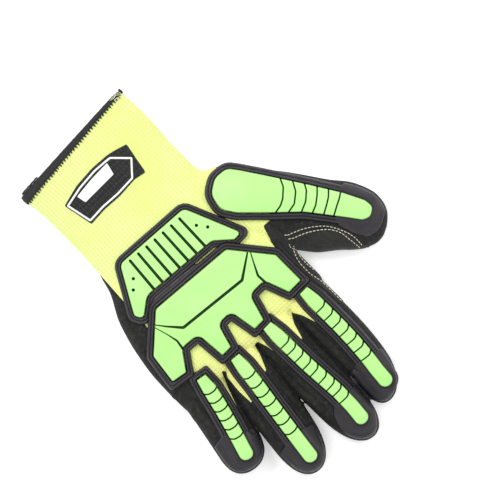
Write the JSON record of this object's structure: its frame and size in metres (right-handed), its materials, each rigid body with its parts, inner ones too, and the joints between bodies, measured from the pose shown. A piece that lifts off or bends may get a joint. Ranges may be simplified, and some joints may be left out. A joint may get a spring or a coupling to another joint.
{
  "type": "impact glove",
  "caption": "Right-hand knitted work glove with a black-dipped palm and fingers and two-colour rubber impact guards on its back, lying palm down with an open cuff.",
  "frame": {"origin": "on the flat underside of the palm, 105 mm ahead of the cuff's end, on the cuff's middle line", "axes": "+Y towards the fingertips, +Z out of the back of the hand, -X towards the thumb"},
  "size_m": [0.1884, 0.2681, 0.0296],
  "materials": {
    "knit_yellow": "matte ribbed knit",
    "coating_black": "sandy matte",
    "guard_black": "satin",
    "guard_green": "satin",
    "hem_black": "overlocked yarn",
    "patch_black": "sueded",
    "label_black": "printed matte"
  },
  "bodies": {
    "root": {"knit_cuff": "knit_yellow", "knit_back": "knit_yellow", "dipped_palm": "coating_black", "thumb_stall": "coating_black", "index_stall": "coating_black", "middle_stall": "coating_black", "ring_stall": "coating_black", "little_stall": "coating_black", "cuff_hem": "hem_black", "cuff_label": "label_black", "crotch_patch": "patch_black", "knuckle_guard_base": "guard_black", "knuckle_guard_pad": "guard_green", "wrist_guard_base": "guard_black", "wrist_guard_pad": "guard_green", "thumb_guard_base": "guard_black", "thumb_guard_pad": "guard_green", "index_guard_base": "guard_black", "index_guard_pad": "guard_green", "middle_guard_base": "guard_black", "middle_guard_pad": "guard_green", "ring_guard_base": "guard_black", "ring_guard_pad": "guard_green", "little_guard_base": "guard_black", "little_guard_pad": "guard_green"}
  },
  "joints": []
}
